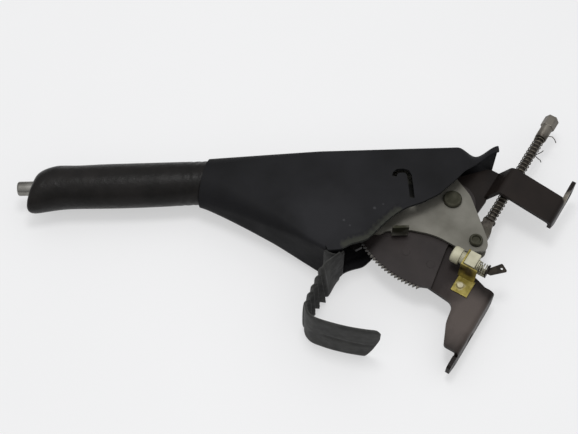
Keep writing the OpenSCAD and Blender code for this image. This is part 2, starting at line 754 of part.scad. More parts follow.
// A long nut: a round sleeve against the spring, then the hexagon
module adjusting_nut() color("#4e4a44") on_pull_rod() translate([nut_at, 0, 0]) along_x() difference() {
    hex_l = nut_l * 0.45;
    union() {
        cylinder(d = nut_flats - 1, h = nut_l - hex_l);
        translate([0, 0, nut_l - hex_l]) cylinder(d = nut_flats / cos(30), h = hex_l, $fn = 6);
    }
    translate([0, 0, -over]) cylinder(d = pull_rod_d + 2 * fit, h = nut_l + 2 * over);
}

// The clip's foot lies on the bracket, its wall stands on edge and its ear holds the switch
module switch_clip() color("#8a7a20") at_pivot() {
    wall_x = switch_x - housing_w / 2 - 1;
    ear_y = switch_y - ear_s;
    top = switch_z + housing_w / 2 + 0.5;
    difference() {
        translate([wall_x - clip_foot.x, ear_y - clip_foot.y - 1, 0])
            cube([clip_foot.x, clip_foot.y, clip_t]);
        through(screw_at, screw_d);
    }
    translate([wall_x - clip_t, ear_y - clip_foot.y, clip_t]) cube([clip_t, clip_foot.y, top - clip_t]);
    difference() {
        translate([wall_x - clip_t, ear_y - clip_t, switch_z - housing_w / 2])
            cube([housing_w + 2, clip_t, housing_w + 0.5]);
        translate([switch_x, ear_y + over, switch_z]) rotate([90, 0, 0])
            cylinder(r = collar_r, h = clip_t + 2 * over);
    }
}

module switch_screw() color("#8a7a20") at_pivot() translate([screw_at.x, screw_at.y, -sheet]) {
    cylinder(d = screw_d, h = sheet + clip_t);
    translate([0, 0, sheet + clip_t]) cylinder(d1 = screw_d * 1.4, d2 = screw_d * 1.1, h = 1.4);
}

// The housing hangs from the ear; its collar guides the plunger and its rail carries the terminal
module switch_housing() color("#d6d6c4") on_switch() difference() {
    w = housing_w;
    collar_s = plunger_travel + 1.5;
    union() {
        translate([-w / 2, -w / 2, housing_s]) cube([w, w, housing_l]);
        translate([0, 0, collar_s]) cylinder(r = collar_r, h = housing_s - collar_s + over);
        translate([-w / 4, -w / 2, housing_s]) cube([w / 2, 1.2, seat_s - housing_s]);
    }
    cylinder(r = neck_r + fit, h = seat_s - 5);
}

module switch_plunger() color("#dedecd") on_switch() {
    skirt = ear_s - plunger_travel - gap;
    flange = housing_s + housing_l + gap;
    post_end = seat_s - plunger_travel - 1;
    rotate_extrude() polygon(concat(
        [[0, 0]],
        [for (k = [0:4]) [cap_r - 1.5 + 1.5 * sin(k * 22.5), 1.5 - 1.5 * cos(k * 22.5)]],
        [[cap_r, skirt], [collar_r + gap, skirt], [collar_r + gap, 1.2], [neck_r, 1.2]],
        [[neck_r, flange], [neck_r + 1, flange], [neck_r + 1, flange + 1]],
        [[post_r, flange + 1], [post_r, post_end], [0, post_end]]
    ));
}

module switch_spring() color("#c8c6b8") on_switch() translate([0, 0, housing_s + housing_l + 1.4])
    coil(neck_r + 0.4, 0.9, seat_s - housing_s - housing_l - 1.5, 4);

// The terminal's disc closes the spring seat, and its flag stands off to one side
module switch_terminal() color("#45413c") on_switch() {
    translate([0, 0, seat_s]) cylinder(r = neck_r + 1.3, h = 1);
    translate([-housing_w / 4, -housing_w / 2, seat_s]) cube([housing_w / 2, housing_w / 4, 1]);
    translate([0, 0, seat_s + 1]) rotate([90, 0, 0]) plate(-0.4, 0.8) difference() {
        polygon(rounded([[-2, 0, 0], [3, 0, 0], [11, 6, 1], [7, 12, 1], [2, 7, 2], [-2, 3, 1]]));
        translate([7, 7.5]) circle(d = 1.8);
    }
}

base_bracket();
bracket_hub();
rear_arm();
ratchet_sector();
sector_rivets();
pivot_pin();
pivot_washers();
switch_clip();
switch_screw();
switch_housing();
switch_terminal();
switch_plunger();
switch_spring();
lever_near_plate();
lever_far_plate();
lever_tube();
plate_spacer();
tube_bush();
rod_guides();
grip();
trim_cover();
cover_strap();
clevis_pin();
pawl_pin();
pawl_spring();
pawl();
release_button();
release_rod();
rod_collar();
release_spring();
pull_rod();
rod_washer();
rod_spring();
adjusting_nut();
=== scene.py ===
"""Looks of the parking brake lever.

Camera, light and materials, and the finer pieces that stand for its soft parts and its springs.
"""

import json
import math

import bmesh
import bpy
import numpy as np
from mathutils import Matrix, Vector


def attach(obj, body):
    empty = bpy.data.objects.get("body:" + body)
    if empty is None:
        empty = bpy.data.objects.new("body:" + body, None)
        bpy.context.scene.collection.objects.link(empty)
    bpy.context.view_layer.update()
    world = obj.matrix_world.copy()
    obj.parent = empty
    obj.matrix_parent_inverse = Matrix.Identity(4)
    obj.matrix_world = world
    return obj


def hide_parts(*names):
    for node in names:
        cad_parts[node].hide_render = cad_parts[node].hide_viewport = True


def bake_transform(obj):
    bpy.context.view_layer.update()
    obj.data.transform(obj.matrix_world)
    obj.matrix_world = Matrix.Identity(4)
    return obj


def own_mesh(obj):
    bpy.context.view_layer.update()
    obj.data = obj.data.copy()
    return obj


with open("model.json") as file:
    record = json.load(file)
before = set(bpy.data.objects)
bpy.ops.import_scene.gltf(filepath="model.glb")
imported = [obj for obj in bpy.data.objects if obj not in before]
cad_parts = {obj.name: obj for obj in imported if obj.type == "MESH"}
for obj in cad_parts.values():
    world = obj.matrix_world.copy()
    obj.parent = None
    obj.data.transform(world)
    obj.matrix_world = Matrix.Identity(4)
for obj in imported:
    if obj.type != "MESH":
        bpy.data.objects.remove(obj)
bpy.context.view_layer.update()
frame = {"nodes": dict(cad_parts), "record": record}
nodes = frame["nodes"]

# Frames. Lengths are in millimetres, unless a name or comment says metres
MM = 0.001
PIVOT = Vector((84, 61.5, 14.5))
PIVOT_M = PIVOT * MM
LEVER_TURN = math.radians(-56)
PHOTO_TURN = math.radians(58)
CLEVIS = Vector((62.118, 30.457, 14.5))
SWITCH = Vector((41, 39.5, 27))
TABLE_DROP = 23
TABLE_Z = PIVOT.z - TABLE_DROP


def lever(x, y, z=0.0):
    """A point of the lever's own frame, where the handle runs along -x from the pivot, in metres."""
    c, s = math.cos(LEVER_TURN), math.sin(LEVER_TURN)
    return (PIVOT + Vector((x * c - y * s, x * s + y * c, z))) * MM


def photo_plane(x, y, z=0.0):
    """A point right of, above and over the pivot as the photograph shows the table, in metres."""
    c, s = math.cos(PHOTO_TURN), math.sin(PHOTO_TURN)
    return (PIVOT + Vector((x * c + y * s, -x * s + y * c, z))) * MM


def on_rod(x, y, z):
    """A point of the pull rod's frame, with x along the rod from its clevis pin, in metres."""
    return (CLEVIS + Vector((x, y, z))) * MM


def on_switch(x, y, s):
    """A point of the switch's frame, with s along its axis from the top of the plunger, in metres."""
    return (SWITCH + Vector((x, -s, y))) * MM


# Camera, light and floor. VIEW_X and VIEW_Y are the camera's aim in the photo's plane, from the pivot

LENS = 70.59
SENSOR_W = 36
VIEW_X = -122.55
VIEW_Y = -11.1
VIEW_DISTANCE = 850
VIEW_RISE = math.radians(60)

KEY_PLACE = (-130, 40, 1000)
KEY_AIM = (-100, 0, 0)
KEY_SIZE_M = 0.3
KEY_POWER = 3.2

SKY_COLOUR = (0.985, 0.99, 1.0, 1)
SKY_LOW = 0.12
SKY_HIGH = 0.95

FLOOR_HALF_M = 6.0
FLOOR_GLOW = 0.49


def facing(place, aim):
    """The rotation of a camera or a light that looks from one place to another."""
    return (aim - place).to_track_quat("-Z", "Y").to_euler()


def add_camera():
    data = bpy.data.cameras.new("camera")
    data.lens = LENS
    data.sensor_fit = "HORIZONTAL"
    data.sensor_width = SENSOR_W
    camera = bpy.data.objects.new("camera", data)
    bpy.context.collection.objects.link(camera)
    back = VIEW_DISTANCE * math.cos(VIEW_RISE)
    up = VIEW_DISTANCE * math.sin(VIEW_RISE)
    camera.location = photo_plane(VIEW_X, VIEW_Y - back, up)
    camera.rotation_euler = facing(camera.location, photo_plane(VIEW_X, VIEW_Y))
    bpy.context.scene.camera = camera


def add_sky():
    """A soft dome of light, brightest straight above the floor."""
    world = bpy.data.worlds.new("studio")
    bpy.context.scene.world = world
    world.use_nodes = True
    tree = world.node_tree
    sky = tree.nodes["Background"]
    sky.inputs["Color"].default_value = SKY_COLOUR
    place = tree.nodes.new("ShaderNodeTexCoord")
    direction = tree.nodes.new("ShaderNodeSeparateXYZ")
    tree.links.new(place.outputs["Generated"], direction.inputs["Vector"])
    dome = tree.nodes.new("ShaderNodeMapRange")
    dome.inputs["To Min"].default_value = SKY_LOW
    dome.inputs["To Max"].default_value = SKY_HIGH
    tree.links.new(direction.outputs["Z"], dome.inputs["Value"])
    tree.links.new(dome.outputs["Result"], sky.inputs["Strength"])


def add_key_light():
    data = bpy.data.lights.new("key", "AREA")
    data.shape = "DISK"
    data.size = KEY_SIZE_M
    data.energy = KEY_POWER
    light = bpy.data.objects.new("key", data)
    bpy.context.collection.objects.link(light)
    light.location = photo_plane(*KEY_PLACE)
    light.rotation_euler = facing(light.location, photo_plane(*KEY_AIM))


def lighten_where_seen(surface, strength):
    """Lets the floor glow where it is seen or mirrored, so that it is pale and its shadows are soft."""
    tree = surface.node_tree
    path = tree.nodes.new("ShaderNodeLightPath")
    seen = path.outputs["Is Camera Ray"]
    for kind in ("Is Glossy Ray", "Is Transmission Ray"):
        either = tree.nodes.new("ShaderNodeMath")
        either.operation = "MAXIMUM"
        tree.links.new(seen, either.inputs[0])
        tree.links.new(path.outputs[kind], either.inputs[1])
        seen = either.outputs["Value"]
    glow = tree.nodes.new("ShaderNodeMath")
    glow.operation = "MULTIPLY"
    glow.inputs[1].default_value = strength
    tree.links.new(seen, glow.inputs[0])
    shader = tree.nodes["Principled BSDF"]
    shader.inputs["Emission Color"].default_value = (1, 1, 1, 1)
    tree.links.new(glow.outputs["Value"], shader.inputs["Emission Strength"])


def add_floor():
    mesh = bpy.data.meshes.new("floor")
    signs = ((-1, -1), (1, -1), (1, 1), (-1, 1))
    mesh.from_pydata([(x * FLOOR_HALF_M, y * FLOOR_HALF_M, 0) for x, y in signs], [], [(0, 1, 2, 3)])
    floor = bpy.data.objects.new("floor", mesh)
    floor.location.z = TABLE_Z * MM
    bpy.context.collection.objects.link(floor)
    surface = material("floor", low="#a8a8a9", high="#ababac", rough=(0.5, 0.6), cloud=3)
    lighten_where_seen(surface, FLOOR_GLOW)
    mesh.materials.append(surface)


# How a finish is drawn. Rims fade over millimetres, patches over shares of their radius, and the rest
# over noise values
CLOUD_FADE = (0.35, 0.65)
ROUGH_FADE = (0.3, 0.7)
ROUGH_FINER = 3
SPECK_FADE = 0.08
SPECK_DETAIL = 8.0
RIM_FADE = (-0.3, 0.5)
PATCH_FADE = (0.9, 1.6)
PATCH_RAGGED = 1500


def linear(text):
    """A colour written in hexadecimal, as linear light."""
    parts = [int(text[i : i + 2], 16) / 255 for i in (1, 3, 5)]
    return [p / 12.92 if p <= 0.04045 else ((p + 0.055) / 1.055) ** 2.4 for p in parts] + [1]


def material(
    name, low, high, rough, metallic=0.0, specular=0.2, cloud=40.0,
    grain=(), speck=None, patches=(), rims=(),
):
    """A finish that is mottled between two colours and two roughnesses.

    cloud is the mottling's scale per metre, grain holds bumps as (texture, scale per metre, height in mm),
    and speck is (colour, scale per metre, threshold). patches are worn or dirty places and places of
    painted light, shade and highlights, as (colour, point in metres, radius in mm), and rims are bare
    places beyond such a radius.
    """
    mat = bpy.data.materials.new(name)
    mat.use_nodes = True
    tree = mat.node_tree
    shader = tree.nodes["Principled BSDF"]
    place = tree.nodes.new("ShaderNodeTexCoord").outputs["Object"]

    def texture(kind, scale, detail=5.0):
        node = tree.nodes.new("ShaderNodeTexNoise" if kind == "noise" else "ShaderNodeTexVoronoi")
        node.inputs["Scale"].default_value = scale
        if kind == "noise":
            node.inputs["Detail"].default_value = detail
        tree.links.new(place, node.inputs["Vector"])
        return node.outputs["Fac" if kind == "noise" else "Distance"]

    def mapped(value, lo, hi, to_lo, to_hi):
        node = tree.nodes.new("ShaderNodeMapRange")
        for key, number in (("From Min", lo), ("From Max", hi), ("To Min", to_lo), ("To Max", to_hi)):
            node.inputs[key].default_value = number
        tree.links.new(value, node.inputs["Value"])
        return node.outputs["Result"]

    def mixed(share, a, b):
        node = tree.nodes.new("ShaderNodeMix")
        node.data_type = "RGBA"
        tree.links.new(share, node.inputs["Factor"])
        # Inputs 6 and 7 and output 2 are the node's colours
        for key, colour in ((6, a), (7, b)):
            if isinstance(colour, list):
                node.inputs[key].default_value = colour
            else:
                tree.links.new(colour, node.inputs[key])
        return node.outputs[2]

    def distance(point):
        node = tree.nodes.new("ShaderNodeVectorMath")
        node.operation = "DISTANCE"
        tree.links.new(place, node.inputs[0])
        node.inputs[1].default_value = point
        return node.outputs["Value"]

    def ragged(point, radius):
        """The distance from a point, roughened in step with the radius."""
        node = tree.nodes.new("ShaderNodeMath")
        node.operation = "MULTIPLY_ADD"
        tree.links.new(texture("noise", PATCH_RAGGED / radius), node.inputs[0])
        node.inputs[1].default_value = radius * MM
        tree.links.new(distance(point), node.inputs[2])
        return node.outputs["Value"]

    colour = mixed(mapped(texture("noise", cloud), *CLOUD_FADE, 0, 1), linear(low), linear(high))
    if speck:
        tint, scale, threshold = speck
        spots = mapped(texture("noise", scale, SPECK_DETAIL), threshold, threshold + SPECK_FADE, 0, 1)
        colour = mixed(spots, colour, linear(tint))
    for tint, point, radius in rims:
        start, end = [(radius + fade) * MM for fade in RIM_FADE]
        colour = mixed(mapped(distance(point), start, end, 0, 1), colour, linear(tint))
    for tint, point, radius in patches:
        start, end = [radius * fade * MM for fade in PATCH_FADE]
        colour = mixed(mapped(ragged(point, radius), start, end, 1, 0), colour, linear(tint))
    tree.links.new(colour, shader.inputs["Base Color"])
    roughness = mapped(texture("noise", cloud * ROUGH_FINER), *ROUGH_FADE, *rough)
    tree.links.new(roughness, shader.inputs["Roughness"])
    shader.inputs["Metallic"].default_value = metallic
    shader.inputs["Specular IOR Level"].default_value = specular
    normal = None
    for kind, scale, height in grain:
        bump = tree.nodes.new("ShaderNodeBump")
        bump.inputs["Strength"].default_value = 1.0
        bump.inputs["Distance"].default_value = height * MM
        tree.links.new(texture(kind, scale), bump.inputs["Height"])
        if normal:
            tree.links.new(normal, bump.inputs["Normal"])
        normal = bump.outputs["Normal"]
    if normal:
        tree.links.new(normal, shader.inputs["Normal"])
    return mat


# Places that are worn or dirty, and places of painted light, shade and highlights, in metres
# The bracket's front leg, lighter towards its foot: dusty paint and a painted reflection
LEG_MIDDLE = lever(-4, -60)
LEG_FOOT = lever(0, -94)
REAR_FOOT_WEAR = PIVOT_M + Vector((0.047, -0.071, 0.004))
SECTOR_SHADE = lever(-76, -36)
LUG_SHADE = lever(-42, -29.5, 16)
# Painted shade on the near plate where it shows through the cover's slit
SHADE_UNDER_SLIT = lever(-31.5, 9, 6.5)
# Painted shade on the switch clip's upright wall
CLIP_WALL_SHADE = PIVOT_M + Vector((-0.051, -0.038, 0.013))
# The clip screw's pale head, with a painted highlight
CLIP_SCREW_HEAD_AND_HIGHLIGHT = PIVOT_M + Vector((-0.058, -0.0375, 0.004))
STRAP_SHADE_NEAR = lever(-84, -50, 10)
STRAP_SHADE_FAR = lever(-85, -51, -6)
NUT = lever(83, 67, 3)

BARE_TEETH_R = 76.4
# The band of dust and painted light on the lip of the cover's rear edge: its rise above the edge, the
# spots' radius and their places along x
LIP_DUST_AND_LIGHT_RISE = 2.0
LIP_DUST_AND_LIGHT_R = 3.8
LIP_DUST_AND_LIGHT_SPOTS = range(-84, -42, 4)


def cover_marks_and_painted_light():
    """The cover's near wall: a broad patch of painted light on its lower rear, small pale scuffs that are
    partly painted highlights of small dents, and a band of dust and painted light along its rear edge.
    """
    marks_and_painted_light = [
        # A broad lighter patch on the lower rear of the near wall: painted light
        ("#2b2b2d", lever(-98, -20, COVER_HALF), 30.0),
        # Small pale scuffs, partly painted highlights of small dents
        ("#3d3d3f", lever(-83.5, -23.4, COVER_HALF), 1.1),
        ("#39393b", lever(-79.5, -28, COVER_HALF), 0.9),
        ("#3d3d3f", lever(-60.5, -14, COVER_HALF), 1.3),
        ("#353537", lever(-54, -11, COVER_HALF), 1.0),
    ]
    # Dust and painted light along the lip of the rear edge
    edge = [lever(x, rear_edge(x) + LIP_DUST_AND_LIGHT_RISE, COVER_HALF) for x in LIP_DUST_AND_LIGHT_SPOTS]
    return marks_and_painted_light + [("#383934", point, LIP_DUST_AND_LIGHT_R) for point in edge]


def make_materials():
    """A finish for each material slot of the record."""
    looks = {
        "grip_cover": dict(
            low="#161514", high="#201e1d", rough=(0.3, 0.4), specular=0.13, cloud=55,
            grain=(("voronoi", 1500, 0.08), ("noise", 140, 0.5)), speck=("#35322f", 420, 0.7),
        ),
        "cover_plastic": dict(
            low="#1f1f20", high="#272729", rough=(0.46, 0.6), specular=0.04, cloud=18,
            grain=(("noise", 2400, 0.05), ("noise", 60, 0.35)), speck=("#343435", 330, 0.74),
            patches=cover_marks_and_painted_light(),
        ),
        "strap_rubber": dict(
            low="#363635", high="#424240", rough=(0.5, 0.65), specular=0.14, cloud=70,
            grain=(("noise", 1500, 0.06), ("noise", 180, 0.25)), speck=("#4b4a45", 500, 0.7),
            patches=(("#0c0c0c", STRAP_SHADE_NEAR, 14.0), ("#0c0c0c", STRAP_SHADE_FAR, 14.0)),
        ),
        "bracket_paint": dict(
            low="#1b1715", high="#241e1b", rough=(0.36, 0.52), specular=0.14, cloud=35,
            grain=(("noise", 900, 0.06), ("noise", 120, 0.15)), speck=("#38312d", 380, 0.72),
            patches=(
                ("#2b2524", LEG_MIDDLE, 24.0),
                ("#544c48", LEG_FOOT, 26.0),
                ("#a39c90", REAR_FOOT_WEAR, 7.0),
            ),
        ),
        "sector_steel": dict(
            low="#262120", high="#2f2928", rough=(0.4, 0.55), metallic=0.1, specular=0.25, cloud=40,
            grain=(("noise", 1200, 0.05),), speck=("#3f3835", 420, 0.72),
            rims=(("#6f6b64", PIVOT_M, BARE_TEETH_R),), patches=(("#141110", SECTOR_SHADE, 15.0),),
        ),
        "zinc_steel": dict(
            low="#66645c", high="#7a7870", rough=(0.42, 0.58), metallic=0.4, cloud=45,
            grain=(("noise", 1600, 0.05), ("noise", 220, 0.08)), speck=("#403e34", 300, 0.71),
            patches=(("#2c2c20", LUG_SHADE, 11.0), ("#151514", SHADE_UNDER_SLIT, 12.0)),
        ),
        "pin_zinc": dict(
            low="#343328", high="#47463b", rough=(0.36, 0.5), metallic=0.5, cloud=180,
            grain=(("noise", 1600, 0.04),), speck=("#6d6a58", 420, 0.7),
        ),
        "spring_steel": dict(
            low="#565149", high="#756f64", rough=(0.3, 0.45), metallic=0.6, cloud=300,
            grain=(("noise", 1800, 0.04),), speck=("#3a332a", 600, 0.62),
        ),
        "tube_steel": dict(
            low="#45443f", high="#57554f", rough=(0.35, 0.5), metallic=0.6, grain=(("noise", 900, 0.04),),
        ),
        "clip_zinc": dict(
            low="#7d7030", high="#a89a58", rough=(0.28, 0.42), metallic=0.5, cloud=160,
            grain=(("noise", 1500, 0.04),), speck=("#5a4819", 500, 0.68),
            patches=(("#35260f", CLIP_WALL_SHADE, 8.0), ("#cdc6aa", CLIP_SCREW_HEAD_AND_HIGHLIGHT, 4.5)),
        ),
        "bright_steel": dict(
            low="#96927f", high="#b9b5a2", rough=(0.28, 0.42), metallic=0.8, cloud=150,
            grain=(("noise", 1800, 0.03),),
        ),
        "switch_nylon": dict(
            low="#aaa68f", high="#c3bfa6", rough=(0.42, 0.55), specular=0.35, cloud=120,
            grain=(("noise", 1200, 0.05),), speck=("#837d62", 420, 0.68),
        ),
        "terminal_metal": dict(
            low="#201d1a", high="#353029", rough=(0.4, 0.6), metallic=0.5, cloud=250,
            grain=(("noise", 1200, 0.1),),
        ),
        "button_chrome": dict(
            low="#6d6b66", high="#908e89", rough=(0.2, 0.34), metallic=0.95, cloud=90,
            grain=(("noise", 1500, 0.03),), speck=("#45423c", 500, 0.7),
        ),
        "rod_steel": dict(
            low="#383430", high="#55504a", rough=(0.32, 0.52), metallic=0.6, cloud=260,
            grain=(("noise", 1500, 0.08),), speck=("#2b2018", 600, 0.6),
            patches=(("#57554b", CLEVIS * MM, 16.0), ("#77726a", NUT, 13.0)),
        ),
    }
    return {name: material(name, **look) for name, look in looks.items()}


# Mesh helpers


def clamp(t):
    return max(0.0, min(1.0, t))


def mix(a, b, t):
    return a + (b - a) * t


def ease(t):
    return t * t * (3 - 2 * t)


def bell(x, middle, width):
    return math.exp(-(((x - middle) / width) ** 2))


def loft(rings, capped=True):
    """Vertices and faces over closed rings with the same number of points."""
    n = len(rings[0])
    faces = []
    for i in range(len(rings) - 1):
        for j in range(n):
            k = (j + 1) % n
            faces.append((i * n + j, i * n + k, (i + 1) * n + k, (i + 1) * n + j))
    if capped:
        faces.append(tuple(range(n)))
        faces.append(tuple((len(rings) - 1) * n + j for j in range(n)))
    return [p for ring in rings for p in ring], faces


def wire(points, radius, sides=8):
    """Vertices and faces of a round wire along a line of points; all in metres."""
    points = [Vector(p) for p in points]
    turns = [2 * math.pi * k / sides for k in range(sides)]
    rings = []
    across = None
    for i, p in enumerate(points):
        ahead = (points[min(i + 1, len(points) - 1)] - points[max(i - 1, 0)]).normalized()
        if across is None:
            across = ahead.orthogonal().normalized()
        across = (across - ahead * across.dot(ahead)).normalized()
        up = ahead.cross(across)
        rings.append([p + (across * math.cos(a) + up * math.sin(a)) * radius for a in turns])
    return loft(rings)


def outward_mesh(name, verts, faces):
    """A mesh whose faces all look outwards."""
    mesh = bpy.data.meshes.new(name)
    mesh.from_pydata([tuple(v) for v in verts], [], faces)
    shape = bmesh.new()
    shape.from_mesh(mesh)
    bmesh.ops.recalc_face_normals(shape, faces=shape.faces)
    shape.to_mesh(mesh)
    shape.free()
    return mesh


def add_piece(name, verts, faces, slot, body, replaced=()):
    """A smooth mesh piece with its slot's finish, which rides on a body unless that is None."""
    mesh = outward_mesh(name, verts, faces)
    mesh.polygons.foreach_set("use_smooth", [True] * len(mesh.polygons))
    mesh.materials.append(finishes[slot])
    piece = bpy.data.objects.new(name, mesh)
    bpy.context.collection.objects.link(piece)
    if replaced:
        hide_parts(*replaced)
    if body:
        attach(piece, body)
    return piece


def add_wall(piece, thickness):
    """Gives an open skin a wall on its inner side."""
    wall = piece.modifiers.new("wall", "SOLIDIFY")
    wall.thickness = thickness * MM
    wall.offset = -1
    wall.use_quality_normals = True


def weld(piece, reach):
    """Joins points that are closer than the reach."""
    joined = piece.modifiers.new("weld", "WELD")
    joined.merge_threshold = reach * MM


def round_edges(piece, width, angle):
    """Bevels the edges that are sharper than an angle in degrees."""
    edge = piece.modifiers.new("edges", "BEVEL")
    edge.width = width * MM
    edge.segments = 2
    edge.limit_method = "ANGLE"
    edge.angle_limit = math.radians(angle)
    edge.harden_normals = True


def settle(piece):
    """Applies a piece's modifiers to its mesh."""
    bpy.context.view_layer.update()
    shape = bpy.data.meshes.new_from_object(piece.evaluated_get(bpy.context.evaluated_depsgraph_get()))
    piece.modifiers.clear()
    piece.data = shape
    shape.polygons.foreach_set("use_smooth", [True] * len(shape.polygons))


# The grip. Places along it are shares of its length, from the nose to the seam with the cover

HANDLE_RISE = 25
GRIP_REACH = 318
GRIP_L = 132
GRIP_R = 17
GRIP_WALL = 1.2
GRIP_INSET = 4
GRIP_RINGS = 140
GRIP_CROWDING = 1.4
GRIP_SIDES = 72
SIDE_SIZE = 0.98
UNDER_SIZE = 0.99

NOSE_END = 0.09
NOSE_SIZE = 0.62
NOSE_LEAN = math.tan(math.radians(32))
NOSE_LEAN_LEFT = 0.4
SEAM_LEAN = math.tan(math.radians(15))
LEAN_CHANGE = 1.3
# Rings round the button's hole and at the seam, as (size, set back)
NOSE_HOLE = ((0.6, 1.6), (0.68, 0.4), (0.86, 0.0))
SEAM_EDGE = ((0.985, 0.3), (0.94, 0.3))

SWELL = 0.035
SWELL_WAVES = 1.05
SWELL_START = 0.6
DROOP = 4
DROOP_PLACE = (0.05, 0.12)
THUMB_DENT = 0.035
THUMB_PLACE = (0.2, 0.09)
WRINKLE = 0.012
WRINKLE_PLACE = (0.9, 0.06)
WRINKLE_RATE = 130


def wrinkled(t, a):
    """What the wrinkles near the seam leave of the grip's radius at an angle round it."""
    wave = math.sin(WRINKLE_RATE * t + 2 * math.sin(3 * a) + math.cos(5 * a))
    return 1 - WRINKLE * bell(t, *WRINKLE_PLACE) * (1 + wave)


def grip_ring(t, size=1.0, back=0.0):
    nose = math.sqrt(1 - (1 - clamp(t / NOSE_END)) ** 2)
    lean = mix(NOSE_LEAN, SEAM_LEAN, clamp(t * LEAN_CHANGE)) * mix(NOSE_LEAN_LEFT, 1, nose)
    swell = 1 + SWELL * math.cos(2 * math.pi * (t * SWELL_WAVES - SWELL_START))
    height = mix(NOSE_SIZE, 1, nose) * size
    up = GRIP_R * height * (1 - THUMB_DENT * bell(t, *THUMB_PLACE))
    down = (GRIP_R * swell + DROOP * bell(t, *DROOP_PLACE)) * height * UNDER_SIZE
    half = GRIP_R * mix(NOSE_SIZE, SIDE_SIZE, nose) * size
    x = -GRIP_REACH + GRIP_L * t + GRIP_INSET + back
    ring = []
    for j in range(GRIP_SIDES):
        a = 2 * math.pi * j / GRIP_SIDES
        wrinkle = wrinkled(t, a)
        y = math.sin(a) * (up if math.sin(a) > 0 else down) * wrinkle
        ring.append(lever(x + lean * y, HANDLE_RISE + y, -half * math.cos(a) * wrinkle))
    return ring


def add_grip():
    end = 1 - GRIP_INSET / GRIP_L
    rings = [grip_ring(0, size, back) for size, back in NOSE_HOLE]
    rings += [grip_ring(end * (i / GRIP_RINGS) ** GRIP_CROWDING) for i in range(GRIP_RINGS + 1)]
    rings += [grip_ring(end, size, back) for size, back in SEAM_EDGE]
    grip = add_piece("grip_skin", *loft(rings, capped=False), "grip_cover", "lever", ["grip"])
    add_wall(grip, GRIP_WALL)


# The trim cover. x runs along the lever and is 0 at the pivot

COVER_FRONT = -GRIP_REACH + GRIP_L
COVER_SEAM = 0.3
COVER_R = 18.5
COVER_HALF = 22
COVER_DROP = 53
COVER_DROP_BEND = 1.2
COVER_CORNER = 5
TOP_FALL = 4.5
EAR_START = 6
EAR_REACH = 38
EAR_HALF = 14
EAR_CORNER = EAR_HALF - 0.5
EAR_TIP_HALF = 18
EAR_TIP_CORNER = 3.1
EAR_LIFT = 2
UNDER_END = -98
UNDER_CORNER = 3.0
UNDER_CORNER_START = -135
COVER_TAPER = UNDER_END - COVER_FRONT
COVER_WALL = 2.3
COVER_EDGE = 0.5
COVER_EDGE_ANGLE = 50
# The rear edge of the walls, as x and height, and the reach and width of its smoothing
REAR_EDGE = np.array([
    (-98, -47.5), (-87, -47.5), (-82, -43.8), (-75, -41.5), (-68, -40.2), (-61, -33.5), (-54.5, -26.6),
    (-44, -18), (-37, -14), (-25, -10), (-12, -3.5), (0, 7), (12, 18.5), (24, 29.5), (32, 33.5), (38, 35.6),
])
SMOOTH_REACH = 6
SMOOTH_WIDTH = 3

LIP_GROOVE = 1.4
LIP_GROOVE_PLACE = (4.6, 1.9)
LIP_START = -86
LIP_START_FADE = 8
LIP_END = -34
LIP_END_FADE = 12

FRONT_STATIONS = 40
REAR_STATIONS = 90
HOOD_POINTS = 151
UNDER_POINTS = 40
HOOD_ARC_POINTS = 13
UNDER_ARC_POINTS = 9
SHORTEST_STEP = 0.2
WALL_BAND = 1

# The bent slit that frees the snap tongue, as x and height
SLIT = [
    (-43.8, 12.8), (-43, 15.5), (-41, 17.3), (-37, 17.5),
    (-34, 16.6), (-32.6, 13.5), (-32.3, 4), (-32.2, -6.5),
]
SLIT_HALF = 1.8
SLIT_DEPTHS = (COVER_HALF - 8, COVER_HALF + 4)
SLIT_WELD = 0.1


def rear_edge(x):
    """Height of the cover's rear edge, smoothed along x."""
    spread = np.linspace(-SMOOTH_REACH, SMOOTH_REACH, 2 * SMOOTH_REACH + 1)
    weights = np.exp(-((spread / SMOOTH_WIDTH) ** 2))
    heights = np.interp(x + spread, REAR_EDGE[:, 0], REAR_EDGE[:, 1])
    return float(np.sum(heights * weights) / weights.sum())


def cover_values(x):
    """Half width, top, bottom, corner radius and lean of the cover's section at x."""
    taper = clamp((x - COVER_FRONT) / COVER_TAPER)
    ear = clamp((x - EAR_START) / (EAR_REACH - EAR_START))
    neck = ease(clamp(2 * ear))
    flare = ease(clamp(2 * ear - 1))
    half = mix(mix(mix(COVER_R, COVER_HALF, taper), EAR_HALF, neck), EAR_TIP_HALF, flare)
    top = HANDLE_RISE + COVER_R - TOP_FALL * taper + EAR_LIFT * flare
    bottom = HANDLE_RISE - COVER_R - COVER_DROP * taper**COVER_DROP_BEND
    corner = mix(mix(mix(COVER_R, COVER_CORNER, taper), EAR_CORNER, neck), EAR_TIP_CORNER, flare)
    lean = SEAM_LEAN * (1 - taper) ** 2
    return half, top, bottom, corner, lean


def under_corner(x, r):
    """Radius of the lower corners, which tightens towards the end of the underside."""
    return mix(r, UNDER_CORNER, ease(clamp((x - UNDER_CORNER_START) / (UNDER_END - UNDER_CORNER_START))))


def lip_groove(x, up):
    """Depth of the groove that sets off the lip along the walls' rear edge, at a height above that edge."""
    start = ease(clamp((x - LIP_START) / LIP_START_FADE))
    end = ease(clamp((LIP_END - x) / LIP_END_FADE))
    return LIP_GROOVE * bell(up, *LIP_GROOVE_PLACE) * start * end


def resampled(path, count):
    """A path's points, spaced evenly."""
    path = np.array(path)
    along = np.concatenate([[0], np.cumsum(np.linalg.norm(np.diff(path, axis=0), axis=1))])
    spots = np.linspace(0, along[-1], count)
    return np.stack([np.interp(spots, along, path[:, 0]), np.interp(spots, along, path[:, 1])], axis=1)


